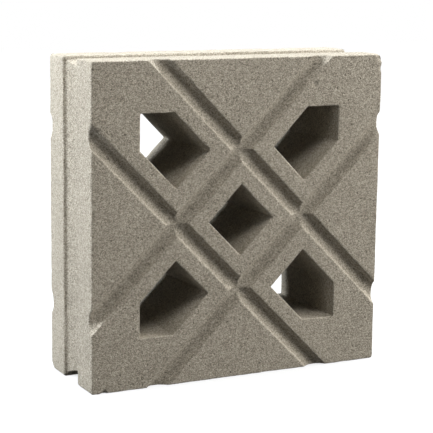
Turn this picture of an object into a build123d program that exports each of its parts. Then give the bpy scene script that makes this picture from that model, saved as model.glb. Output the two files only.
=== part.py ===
from build123d import *
import os
from math import atan2, degrees, sqrt

# Breeze block: a square screen block, cast in one piece of concrete.
# Millimetres. Z is up, X runs to the right seen from the front, and the front face looks towards -Y.
# The origin is in the middle of the bottom, half-way through the depth.

# Outer form
side = 300.0  # width and height of the square face
depth = 100.0  # from the front face to the rear face
corner_round = 3.0  # worn roundness of the four corners, seen from the front
arris_round = 1.5  # worn roundness of the edges around both faces

# Holes, all straight through from front to rear
middle_hole_reach = 33.3  # from the middle of the block to a point of its diamond hole
corner_hole_pitch = 66.7  # from the middle of the block to the middle of a corner hole, along X and Z
corner_hole_reach = 33.3  # from the middle of a corner hole to a point of its diamond
rim_width = 47.6  # from the side of the block to the squared corner of a hole, at the front face
core_draft = 1.5  # how much further in the squared corner lies at the rear face

# Round-bottomed grooves that cross both faces on the diagonal, out through the sides
groove_width = 15.6  # across the groove at the face, before its shoulders are rounded
groove_depth = 6.0  # from the face to the bottom of the groove
groove_inset = 0.8  # how much nearer the middle hole a groove lies than half-way across the web
shoulder_round = 1.0  # roundness of the shoulders along a groove
shoulder_flare = 2.0  # how far past its edge the groove's cutter opens out, clear of the face
shoulder_rise = 0.6  # how far the opened cutter lifts off the face over that flare

# Mortar channel around all four sides
channel_width = 33.4  # from the front flange to the rear flange
channel_depth = 7.5  # at the crown of its curve
channel_lip = 1.2  # upright part of each flange's inner edge, before the curve starts
channel_end_round = 3.6  # radius of the tight curves beside the flanges

# Values worked out from the ones above
middle = Vector(0, 0, side / 2)
mid_plane = Plane(origin=middle, x_dir=(1, 0, 0), z_dir=(0, -1, 0))
middle_hole_wall = middle_hole_reach / sqrt(2)
corner_hole_wall = (2 * corner_hole_pitch - corner_hole_reach) / sqrt(2)
groove_distance = (middle_hole_wall + corner_hole_wall) / 2 - groove_inset

# Core that forms one corner hole, with the middle of the block at the origin: a diamond prism whose
# outer point is filled out to a right angle, cut back by two slightly leaning planes
with BuildPart() as corner_core:
    core_reach = side / 2 - rim_width
    inner_reach = corner_hole_pitch - corner_hole_reach
    with BuildSketch(Plane.XZ.offset(depth / 2)):
        with BuildLine():
            Polyline(
                (core_reach, core_reach),
                (core_reach - corner_hole_reach, core_reach),
                (inner_reach, corner_hole_pitch),
                (corner_hole_pitch, inner_reach),
                (core_reach, core_reach - corner_hole_reach),
                close=True,
            )
        make_face()
    extrude(amount=-depth)
    front_corner = (core_reach, -depth / 2, core_reach)
    split(bisect_by=Plane(front_corner, x_dir=(0, 0, 1), z_dir=(depth, core_draft, 0)), keep=Keep.BOTTOM)
    split(bisect_by=Plane(front_corner, x_dir=(1, 0, 0), z_dir=(0, core_draft, depth)), keep=Keep.BOTTOM)

# Section of one groove: the face lies along X, the concrete is on the +Y side, and the part of the
# cutter outside the face opens out so that the shoulders can be rounded
with BuildSketch() as groove_section:
    groove_edge = groove_width / 2
    flare_edge = groove_edge + shoulder_flare
    with BuildLine():
        ThreePointArc((-groove_edge, 0), (0, groove_depth), (groove_edge, 0))
        Polyline(
            (groove_edge, 0),
            (flare_edge, -shoulder_rise),
            (flare_edge, -groove_depth),
            (-flare_edge, -groove_depth),
            (-flare_edge, -shoulder_rise),
            (-groove_edge, 0),
        )
    make_face()
    shoulders = groove_section.vertices().group_by(Axis.Y)[-1]
    fillet(shoulders, radius=shoulder_round)

# Section of the mortar channel, with the side of the block along X: two upright lips joined by an
# arch of three arcs
with BuildSketch() as channel_section:
    channel_edge = channel_width / 2
    end_centre = channel_edge - channel_end_round
    arch_rise = channel_depth - channel_lip
    crown_rise = arch_rise - channel_end_round
    crown_radius = (end_centre**2 + arch_rise**2 - channel_end_round**2) / (2 * crown_rise)
    crown_centre = channel_depth - crown_radius
    end_turn = degrees(atan2(channel_lip - crown_centre, end_centre))
    with BuildLine():
        CenterArc((end_centre, channel_lip), channel_end_round, 0, end_turn)
        CenterArc((0, crown_centre), crown_radius, end_turn, 180 - 2 * end_turn)
        CenterArc((-end_centre, channel_lip), channel_end_round, 180 - end_turn, end_turn)
        Polyline(
            (-channel_edge, channel_lip),
            (-channel_edge, -channel_depth),
            (channel_edge, -channel_depth),
            (channel_edge, channel_lip),
        )
    make_face()

with BuildPart() as screen_block:
    # Square block with worn corners and edges
    with BuildSketch(mid_plane):
        RectangleRounded(side, side, corner_round)
    extrude(amount=depth / 2, both=True)
    face_edges = screen_block.edges().group_by(Axis.Y)
    fillet(face_edges[0] + face_edges[-1], radius=arris_round)

    # Mortar channel, cut straight along each side so that the cuts meet in a mitre at the corners
    for inward in (Vector(1, 0, 0), Vector(-1, 0, 0), Vector(0, 0, 1), Vector(0, 0, -1)):
        across_depth = Vector(0, 1, 0)
        side_middle = middle - inward * (side / 2)
        with BuildSketch(Plane(side_middle, x_dir=across_depth, z_dir=across_depth.cross(inward))):
            add(channel_section.sketch)
        extrude(amount=side, both=True, mode=Mode.SUBTRACT)

    # Two pairs of grooves on each face, which cross between the holes
    for lean in (-1, 1):
        with BuildSketch(Plane(middle, x_dir=(lean, 0, -1), z_dir=(1, 0, lean))):
            with Locations((-groove_distance, -depth / 2), (groove_distance, -depth / 2)):
                add(groove_section.sketch)
            mirror(about=Plane.XZ)
        extrude(amount=side, both=True, mode=Mode.SUBTRACT)

    # Diamond hole in the middle
    with BuildSketch(mid_plane):
        Rectangle(middle_hole_wall * 2, middle_hole_wall * 2, rotation=45)
    extrude(amount=depth, both=True, mode=Mode.SUBTRACT)

    # Four corner holes, whose squared corners lean in towards the rear
    with Locations(middle):
        for turn in range(4):
            add(corner_core.part, rotation=(0, 90 * turn, 0), mode=Mode.SUBTRACT)

screen_block.part.label = "screen_block"
os.makedirs("parts", exist_ok=True)
export_step(screen_block.part, "parts/screen_block.step")
print("volume, cubic mm:", round(screen_block.part.volume))
print("crown radius of the mortar channel:", round(crown_radius, 2))
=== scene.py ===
# %% [markdown]
# # A breeze block in Blender
# A breeze block is a square screen block: one solid casting of sandy concrete with holes right through
# it, so that a wall of them lets light and air pass. The CAD frame already holds its exact form. This
# lesson adds what the mould, the pallet and the yard leave behind: a worn arris, a few knocks, and the
# grain of the sand.

# %% Load the frame
import math

import bmesh
import bpy
from mathutils import Matrix, Vector, kdtree, noise


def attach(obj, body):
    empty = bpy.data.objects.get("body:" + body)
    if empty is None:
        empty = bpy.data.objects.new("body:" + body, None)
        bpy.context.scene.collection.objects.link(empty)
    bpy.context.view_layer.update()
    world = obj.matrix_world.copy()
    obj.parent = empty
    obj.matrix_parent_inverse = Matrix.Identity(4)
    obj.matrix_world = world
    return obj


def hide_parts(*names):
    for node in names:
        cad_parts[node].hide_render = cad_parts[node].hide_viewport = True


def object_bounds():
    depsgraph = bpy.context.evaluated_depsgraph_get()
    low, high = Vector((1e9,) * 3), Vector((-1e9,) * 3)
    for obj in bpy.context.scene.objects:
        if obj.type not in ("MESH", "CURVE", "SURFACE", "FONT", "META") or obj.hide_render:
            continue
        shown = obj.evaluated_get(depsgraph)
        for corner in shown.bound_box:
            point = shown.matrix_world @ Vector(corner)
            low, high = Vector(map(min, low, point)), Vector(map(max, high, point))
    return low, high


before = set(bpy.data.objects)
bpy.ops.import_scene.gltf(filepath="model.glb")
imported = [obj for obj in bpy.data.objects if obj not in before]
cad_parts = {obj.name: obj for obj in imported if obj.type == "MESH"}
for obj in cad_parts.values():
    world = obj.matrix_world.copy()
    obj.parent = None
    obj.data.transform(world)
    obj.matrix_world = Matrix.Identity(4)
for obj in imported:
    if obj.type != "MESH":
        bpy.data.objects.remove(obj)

cad_low, cad_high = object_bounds()
block_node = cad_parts["screen_block"]
scene = bpy.context.scene
print("block, metres:", tuple(round(size, 4) for size in cad_high - cad_low))

# %% [markdown]
# ## The camera
# The camera comes first, because every later choice is judged through it. Its place and its three
# turns were found by fitting a pinhole camera to the straight edges of the block in the photograph:
# it stands to the left of the block and a little above it. A turn about the upright, then a tilt and
# then a small roll is the order in which a photographer would set a tripod head.

# %% Set the camera where the photograph was taken
CAMERA_PLACE = Vector((-0.6349, -1.2314, 0.4009))
CAMERA_HEADING = math.radians(-27.27)
CAMERA_TILT = math.radians(10.48)
CAMERA_ROLL = math.radians(0.79)
LENS_MM = 122.5

camera_data = bpy.data.cameras.new("camera")
camera_data.lens = LENS_MM
camera = bpy.data.objects.new("camera", camera_data)
scene.collection.objects.link(camera)
camera.matrix_world = (
    Matrix.Translation(CAMERA_PLACE)
    @ Matrix.Rotation(CAMERA_HEADING, 4, "Z")
    @ Matrix.Rotation(math.pi / 2 - CAMERA_TILT, 4, "X")
    @ Matrix.Rotation(CAMERA_ROLL, 4, "Z")
)
scene.camera = camera
block_middle = (cad_low + cad_high) / 2
print("camera, metres from the block's middle:", round((CAMERA_PLACE - block_middle).length, 3))

# %% [markdown]
# ## A fine skin for the casting
# The CAD mesh is a few long triangles: fine for a flat wall, but wear needs points to move. Subdividing
# long triangles gives slivers, and a voxel remesh would blunt every edge. The Remesh modifier in Sharp
# mode lays an even grid of quads, about 1.2 millimetres wide, over the same shape and still puts points
# on the arrises, so the holes and grooves keep their crisp outlines. The frame's own mesh stays as it
# is: the skin starts from a copy, whose loose triangles are first joined at their corners.


# %% Remesh a copy of the node into small even quads
SAME_POINT = 1e-6
GRID_DEPTH = 8
GRID_SCALE = 0.99


def evaluated_mesh(piece):
    """The mesh of a piece with its modifiers applied."""
    depsgraph = bpy.context.evaluated_depsgraph_get()
    return bpy.data.meshes.new_from_object(piece.evaluated_get(depsgraph), depsgraph=depsgraph)


casting = bmesh.new()
casting.from_mesh(block_node.data)
bmesh.ops.remove_doubles(casting, verts=casting.verts, dist=SAME_POINT)
block_mesh = bpy.data.meshes.new("concrete_block")
casting.to_mesh(block_mesh)
casting.free()
block = bpy.data.objects.new("concrete_block", block_mesh)
scene.collection.objects.link(block)
skin = block.modifiers.new("even skin", "REMESH")
skin.mode = "SHARP"
skin.octree_depth = GRID_DEPTH
skin.scale = GRID_SCALE
skin.use_remove_disconnected = False
block.data = evaluated_mesh(block)
block.modifiers.clear()
print("skin:", len(block.data.polygons), "quads")

# %% [markdown]
# ## Worn arrises
# Concrete can't hold a knife edge: the sand along an arris falls away when the block leaves the mould
# and when it is stacked. A bevel would round every arris alike. Smoothing only the points on sharp
# edges rounds them by half a millimetre, and a noise pattern chooses where they are smoothed again and
# again, so the wear comes in patches. A finer pattern sinks single points, as where one grain has
# dropped out.

# %% Round the arrises unevenly
ARRIS_ANGLE = math.radians(35)
WEAR_PATCH = 0.012
LEAST_WEAR_OF_EACH_ROUND = (0.0, 0.45, 0.55, 0.6, 0.65)
SMOOTHING = 0.5
CRUMB_SIZE = 0.0021
CRUMB_DEPTH = 0.0006


def wear_at(place):
    """Uneven wear from 0 to 1, in patches about WEAR_PATCH metres long."""
    return 0.5 + 0.5 * noise.noise(place / WEAR_PATCH)


def inside_the_box(place):
    """The place, brought back to the real size of the block where it lies outside."""
    return Vector(max(low, min(high, at)) for at, low, high in zip(place, cad_low, cad_high))


shape = bmesh.new()
shape.from_mesh(block.data)
shape.normal_update()
arris_edges = [edge for edge in shape.edges if edge.calc_face_angle(0) > ARRIS_ANGLE]
arris_points = list({point for edge in arris_edges for point in edge.verts})
every_axis = {"use_axis_x": True, "use_axis_y": True, "use_axis_z": True}
for least_wear in LEAST_WEAR_OF_EACH_ROUND:
    worn = [point for point in arris_points if wear_at(point.co) > least_wear]
    bmesh.ops.smooth_vert(shape, verts=worn, factor=SMOOTHING, **every_axis)
shape.normal_update()
for point in arris_points:
    crumb = max(0.0, noise.noise(point.co / CRUMB_SIZE))
    point.co -= point.normal * CRUMB_DEPTH * crumb * wear_at(point.co)
print("arris points:", len(arris_points))

# %% [markdown]
# ## Knocks
# A few knocks are big enough to see in the photograph: crumbled corners and small pits whose lower rim
# catches the light. They could be cut with a boolean, but a knock has no clean edge. Here each is a
# place, a reach and a depth in millimetres, and the points within reach sink the deeper the nearer they
# are, with a little noise. A k-d tree finds the points of each knock at once.

# %% Press the knocks that the photograph shows
KNOCKS_MM = (
    ((76.2, -50, 273.5), 3.2, 1.3),
    ((68.3, -50, 295.9), 2.6, 0.9),
    ((-142.7, -50, 238.8), 2.6, 1.0),
    ((-137.6, -50, 0.5), 3.5, 1.6),
    ((148.5, -49, 298.0), 6.0, 1.5),
    ((149.5, -49, 286.0), 3.5, 1.1),
    ((-149, 49, 1.0), 5.5, 1.6),
)
RAGGEDNESS = 0.5

point_tree = kdtree.KDTree(len(shape.verts))
for number, point in enumerate(shape.verts):
    point_tree.insert(point.co, number)
point_tree.balance()
shape.verts.ensure_lookup_table()
for place_mm, reach_mm, depth_mm in KNOCKS_MM:
    centre = Vector(place_mm) / 1000
    struck = point_tree.find_range(centre, reach_mm / 1000)
    for _, number, distance in struck:
        point = shape.verts[number]
        share = 1 - (distance * 1000 / reach_mm) ** 2
        ragged = 1 + RAGGEDNESS * noise.noise(point.co / CRUMB_SIZE)
        point.co -= point.normal * (depth_mm / 1000) * share * ragged
    print("knock at", place_mm, "moved", len(struck), "points")

# %% [markdown]
# ## Uneven faces
# A cast face is never quite flat: the mould leaves a slow swell. Each point sinks a little along its
# normal. Points only ever sink, so the block stays inside its real size, and the few that the remesh
# put a hair outside are brought back to it.

# %% Sink the skin by the swell of the mould
SWELL_SIZE = 0.035
SWELL_DEPTH = 0.00022
SINK_EVERYWHERE = 0.00015

for point in shape.verts:
    swell = SWELL_DEPTH * noise.noise(point.co / SWELL_SIZE)
    point.co = inside_the_box(point.co - point.normal * max(0.0, SINK_EVERYWHERE + swell))
shape.to_mesh(block.data)
shape.free()
print("swelled within", tuple(round(size, 4) for size in block.dimensions))

# %% [markdown]
# ## Fewer faces on the flat
# The even grid spends as many faces on a flat wall as on a worn arris. Decimate merges those that lie
# flat and keeps the rest, and a point that it puts a hair outside the real size is brought back. The
# shading stays smooth, and the Weighted Normal modifier lets the large flat faces decide the normals at
# their rims, so no shade creeps from a rounded rim onto a flat face. The finished skin rides on the
# frame's root body and takes the place of the plain solid.

# %% Merge the flat faces and smooth the shading
KEPT_SHARE = 0.285

thinned = block.modifiers.new("fewer flat faces", "DECIMATE")
thinned.ratio = KEPT_SHARE
block.data = evaluated_mesh(block)
block.modifiers.clear()
for point in block.data.vertices:
    point.co = inside_the_box(point.co)
block.data.shade_smooth()
flats_lead = block.modifiers.new("flat faces lead", "WEIGHTED_NORMAL")
flats_lead.mode = "FACE_AREA"
flats_lead.keep_sharp = False
block.data = evaluated_mesh(block)
block.modifiers.clear()
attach(block, "root")
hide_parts("screen_block")
print("block:", sum(len(face.vertices) - 2 for face in block.data.polygons), "triangles")

# %% [markdown]
# ## Shader maths as plain expressions
# Node trees are easier to read as sums and products. This small class wraps a socket, so that
# `1 - mask` or `grain * 0.3 + pits` adds the Math nodes by itself. Everything else goes through one
# method that adds a node of any type.


# %% A socket that can be added, multiplied and subtracted
class Value:
    """A node's socket that takes part in sums, differences and products."""

    def __init__(self, tree, socket):
        self.tree, self.socket = tree, socket

    def maths(self, operation, first, second):
        return add_node(self.tree, "ShaderNodeMath", {"operation": operation}, {0: first, 1: second})

    def __add__(self, other):
        return self.maths("ADD", self, other)

    def __radd__(self, other):
        return self.maths("ADD", other, self)

    def __sub__(self, other):
        return self.maths("SUBTRACT", self, other)

    def __rsub__(self, other):
        return self.maths("SUBTRACT", other, self)

    def __mul__(self, other):
        return self.maths("MULTIPLY", self, other)

    def __rmul__(self, other):
        return self.maths("MULTIPLY", other, self)

    def also(self, name):
        """Another output of the same node."""
        return Value(self.tree, self.socket.node.outputs[name])


# %% Any node, and the two that are used most
def add_node(tree, kind, settings, inputs, output=0):
    """Adds a node, makes its settings, then fills its sockets with values or links."""
    made = tree.nodes.new(kind)
    for name, setting in settings.items():
        setattr(made, name, setting)
    for name, given in inputs.items():
        if isinstance(given, Value):
            tree.links.new(given.socket, made.inputs[name])
        else:
            made.inputs[name].default_value = given
    return Value(tree, made.outputs[output])


def blend_colours(tree, amount, low, high):
    """A colour that goes from low to high with the amount."""
    settings = {"data_type": "RGBA", "blend_type": "MIX"}
    return add_node(tree, "ShaderNodeMix", settings, {"Factor": amount, 6: low, 7: high}, output=2)


def soft_step(tree, value, start, end):
    """0 below start, 1 above end, and smooth between them."""
    settings = {"interpolation_type": "SMOOTHSTEP"}
    inputs = {"Value": value, "From Min": start, "From Max": end}
    return add_node(tree, "ShaderNodeMapRange", settings, inputs)


# %% [markdown]
# ## Sandy concrete
# Dry-cast concrete is sand held by a thin film of grey cement. From a metre away it reads as a warm
# grey with a strong pepper of lighter and darker grains, a few pale crumbs, tiny open pores, and slow
# clouds where the mix was wetter. Plain noise would look like felt. Voronoi patterns are nearer to sand,
# because each cell can have its own tone and its own height, as a grain has. The patterns follow the
# Object coordinates, so they run on around every edge and into the holes, as in a solid casting.

# %% Patterns that the concrete is made of
GRAINS_PER_METRE = 1250
CRUMBS_PER_METRE = 400
PORES_PER_METRE = 230
CLOUDS_PER_METRE = 16
CLOUD_DETAIL = 5
CLOUD_ROUGHNESS = 0.65
PALE_CRUMB_TONES = (0.93, 0.95)
PALE_CRUMB_RIM = (0.25, 0.4)
PORE_TONES = (0.8, 0.84)
PORE_RIM = (0.14, 0.3)

concrete = bpy.data.materials.new("sandy_concrete")
concrete.use_nodes = True
tree = concrete.node_tree
surface = tree.nodes["Principled BSDF"]
place = Value(tree, tree.nodes.new("ShaderNodeTexCoord").outputs["Object"])


def cells(per_metre):
    """How far a place is from the middle of its cell, and a random tone for the cell."""
    distance = add_node(tree, "ShaderNodeTexVoronoi", {}, {"Vector": place, "Scale": per_metre})
    tones = add_node(tree, "ShaderNodeSeparateColor", {}, {"Color": distance.also("Color")})
    return distance, tones


def spots(distance, cell_tone, tones, rim):
    """1 in the middle of the few cells whose tone is high enough, and 0 from the rim outwards."""
    return soft_step(tree, cell_tone, *tones) * (1 - soft_step(tree, distance, *rim))


grain_distance, grain_tone = cells(GRAINS_PER_METRE)
crumb_distance, crumb_tone = cells(CRUMBS_PER_METRE)
pore_distance, pore_tone = cells(PORES_PER_METRE)
pale_crumbs = spots(crumb_distance, crumb_tone, PALE_CRUMB_TONES, PALE_CRUMB_RIM)
pores = spots(pore_distance, pore_tone, PORE_TONES, PORE_RIM)
cloud_inputs = {"Scale": CLOUDS_PER_METRE, "Detail": CLOUD_DETAIL, "Roughness": CLOUD_ROUGHNESS}
clouds = add_node(tree, "ShaderNodeTexNoise", {}, {"Vector": place, **cloud_inputs})
print("pattern nodes:", len(tree.nodes))

# %% [markdown]
# ## Its colour
# Every grain lies somewhere between dark cement and pale sand, so one tone is enough: the patterns are
# added up in fixed shares, and the sum picks a colour between the two. The pores are painted darker, as
# painted shade inside them. The rear flange is lit a little brighter than the front one, so painted light
# fades in as a paler tone behind the middle of the depth. Bare concrete hardly shines, so the surface is
# rough and its reflection weak.

# %% The colour, from dark cement to pale sand
CEMENT_DARK = (0.13, 0.112, 0.081, 1)
CEMENT_LIGHT = (0.57, 0.511, 0.414, 1)
GRAIN_SHARE = 0.8
CRUMB_SHARE = 0.06
PALE_CRUMB_SHARE = 0.3
PAINTED_PORE_SHADE_SHARE = 0.2
CLOUD_SHARE = 0.22
PAINTED_REAR_LIGHT_SHARE = 0.1
PAINTED_REAR_LIGHT_STARTS = 0.0
PAINTED_REAR_LIGHT_IN_FULL = 0.03
ROUGHNESS = 0.95
REFLECTION = 0.15

sand = grain_tone * GRAIN_SHARE + crumb_tone * CRUMB_SHARE
# painted shade: the pores are made darker in colour, standing in for the shade inside them; the pale crumbs
# are real
pale_crumbs_and_painted_pore_shade = pale_crumbs * PALE_CRUMB_SHARE - pores * PAINTED_PORE_SHADE_SHARE
# painted light: the colour turns paler behind the middle of the depth, where the rear flange is lit
# brighter
behind_middle = add_node(tree, "ShaderNodeSeparateXYZ", {}, {"Vector": place}, output=1)
painted_rear_light = soft_step(tree, behind_middle, PAINTED_REAR_LIGHT_STARTS, PAINTED_REAR_LIGHT_IN_FULL)
tone = sand + pale_crumbs_and_painted_pore_shade + clouds * CLOUD_SHARE + painted_rear_light * PAINTED_REAR_LIGHT_SHARE
colour = blend_colours(tree, tone, CEMENT_DARK, CEMENT_LIGHT)
tree.links.new(colour.socket, surface.inputs["Base Color"])
surface.inputs["Roughness"].default_value = ROUGHNESS
surface.inputs["Specular IOR Level"].default_value = REFLECTION
print("colour nodes:", len(tree.nodes))

# %% [markdown]
# ## Its relief
# The grains stand proud of the cement by less than half a millimetre. To model them would take millions
# of faces, and they are finer than a pixel of the photograph, so a bump is enough: it tilts the shading
# as if the surface had that height. Heights are in metres, and each grain is a small dome that stands as
# high as its cell's second random tone says.

# %% The relief of grains and pores
GRAIN_HEIGHT = 0.00042
CRUMB_HEIGHT = 0.0002
PORE_DEPTH = 0.0005

grains = grain_tone.also("Green") * (1 - grain_distance)
crumbs = crumb_tone.also("Green") * (1 - crumb_distance)
height = grains * GRAIN_HEIGHT + crumbs * CRUMB_HEIGHT - pores * PORE_DEPTH
bump = add_node(tree, "ShaderNodeBump", {}, {"Height": height, "Distance": 1.0, "Strength": 1.0})
tree.links.new(bump.socket, surface.inputs["Normal"])
block.data.materials.append(concrete)
print("concrete nodes:", len(tree.nodes))

# %% [markdown]
# ## Seven soft lamps
# The shade in the grooves and holes tells where the studio lamps stood. Grooves that fall to the right
# have a bright wall and a dark one, while those that rise to the right are evenly grey: one lamp in
# front above, one in front at the right and one that grazes the face from the upper right do that
# together. Two weak ones, at the left and straight in front, keep the dark walls from going black. The
# hole walls fade out within five centimetres, so no strong lamp faces them. The top and the left side
# are much brighter than the face and a little cooler, so two cool lamps stand just behind the plane of
# the face and light only those.


# %% Lamps that look at the middle of the block
WHITE = (1, 1, 1)
COOL_WHITE = (0.95, 1.01, 1.09)


def soft_lamp(name, around, forward, distance, width, radiance, colour=WHITE):
    """A round lamp, in metres and degrees. Around turns from above to the right, forward to the front."""
    lamp_data = bpy.data.lights.new(name, "AREA")
    lamp_data.shape = "DISK"
    lamp_data.size = width
    lamp_data.color = colour
    lamp_data.energy = radiance * math.pi * (math.pi / 4 * width**2)
    lamp = bpy.data.objects.new(name, lamp_data)
    scene.collection.objects.link(lamp)
    turn = math.radians(around)
    lean = math.radians(forward)
    towards = Vector((math.sin(turn) * math.cos(lean), -math.sin(lean), math.cos(turn) * math.cos(lean)))
    aim = towards.to_track_quat("Z", "Y").to_matrix().to_4x4()
    lamp.matrix_world = Matrix.Translation(block_middle + towards * distance) @ aim
    print(name, "at", tuple(round(at, 2) for at in lamp.matrix_world.translation))


soft_lamp("right_front_light", around=84, forward=29, distance=2.0, width=0.7, radiance=21)
soft_lamp("upper_front_light", around=2, forward=30, distance=2.0, width=0.9, radiance=9.7)
soft_lamp("left_front_light", around=-84, forward=17, distance=1.6, width=0.5, radiance=5)
soft_lamp("front_light", around=-60, forward=80, distance=2.0, width=0.7, radiance=1.4)
soft_lamp("upper_right_light", around=58, forward=10, distance=1.6, width=0.45, radiance=35)
soft_lamp("overhead_light", around=25, forward=-8, distance=1.3, width=0.45, radiance=31, colour=COOL_WHITE)
soft_lamp("left_light", around=-54, forward=-6, distance=1.3, width=0.45, radiance=53, colour=COOL_WHITE)

# %% [markdown]
# ## Floor and surround
# The photograph is a cut-out on white. The floor and the surround are white only to rays that come
# straight from the camera, or from a mirror or glass, so neither lights the block. Mixing that white
# with a plain grey floor lets a light shadow stay under the block, and the grey floor throws little light
# back into the holes.

# %% A plain floor
FLOOR_HALF = 4.0

floor_shape = bmesh.new()
bmesh.ops.create_grid(floor_shape, x_segments=1, y_segments=1, size=FLOOR_HALF)
floor_mesh = bpy.data.meshes.new("floor")
floor_shape.to_mesh(floor_mesh)
floor_shape.free()
floor = bpy.data.objects.new("floor", floor_mesh)
scene.collection.objects.link(floor)
print("floor, metres:", tuple(round(size, 2) for size in floor.dimensions))

# %% White paint for it that keeps a soft shadow
FLOOR_GREY = 0.035
SHADOW_SHARE = 0.22
NEAR_WHITE = 0.75
WHITENING_STARTS = 0.35
WHITE_FROM = 1.5


def seen_directly(tree):
    """1 for what the camera sees, also in a mirror or through glass, and 0 for light on the block."""
    paths = tree.nodes.new("ShaderNodeLightPath").outputs
    camera_ray = Value(tree, paths["Is Camera Ray"])
    return camera_ray + camera_ray.also("Is Glossy Ray") + camera_ray.also("Is Transmission Ray")


floor_paint = bpy.data.materials.new("floor_paint")
floor_paint.use_nodes = True
tree = floor_paint.node_tree
surface = tree.nodes["Principled BSDF"]
seen = seen_directly(tree)
floor_tone = FLOOR_GREY + seen * (SHADOW_SHARE - FLOOR_GREY)
tree.links.new(floor_tone.socket, surface.inputs["Base Color"])
surface.inputs["Roughness"].default_value = 1.0
surface.inputs["Specular IOR Level"].default_value = 0.0
surface.inputs["Emission Strength"].default_value = 1.0
floor_place = Value(tree, tree.nodes.new("ShaderNodeTexCoord").outputs["Object"])
from_block = add_node(tree, "ShaderNodeVectorMath", {"operation": "LENGTH"}, {0: floor_place}, output=1)
far_from_block = soft_step(tree, from_block, WHITENING_STARTS, WHITE_FROM)
whiteness = NEAR_WHITE + far_from_block * (1 - NEAR_WHITE)
tree.links.new((seen * whiteness).socket, surface.inputs["Emission Color"])
floor.data.materials.append(floor_paint)
print("floor keeps", SHADOW_SHARE, "of the shadow")

# %% A white surround that hardly lights the block
SURROUND_LIGHT = 0.0015

world = bpy.data.worlds.new("surround")
scene.world = world
world.use_nodes = True
tree = world.node_tree
strength = SURROUND_LIGHT + seen_directly(tree) * (1 - SURROUND_LIGHT)
tree.nodes["Background"].inputs["Color"].default_value = (1, 1, 1, 1)
tree.links.new(strength.socket, tree.nodes["Background"].inputs["Strength"])
scene.view_settings.view_transform = "Standard"
print("surround lights the block with", SURROUND_LIGHT)
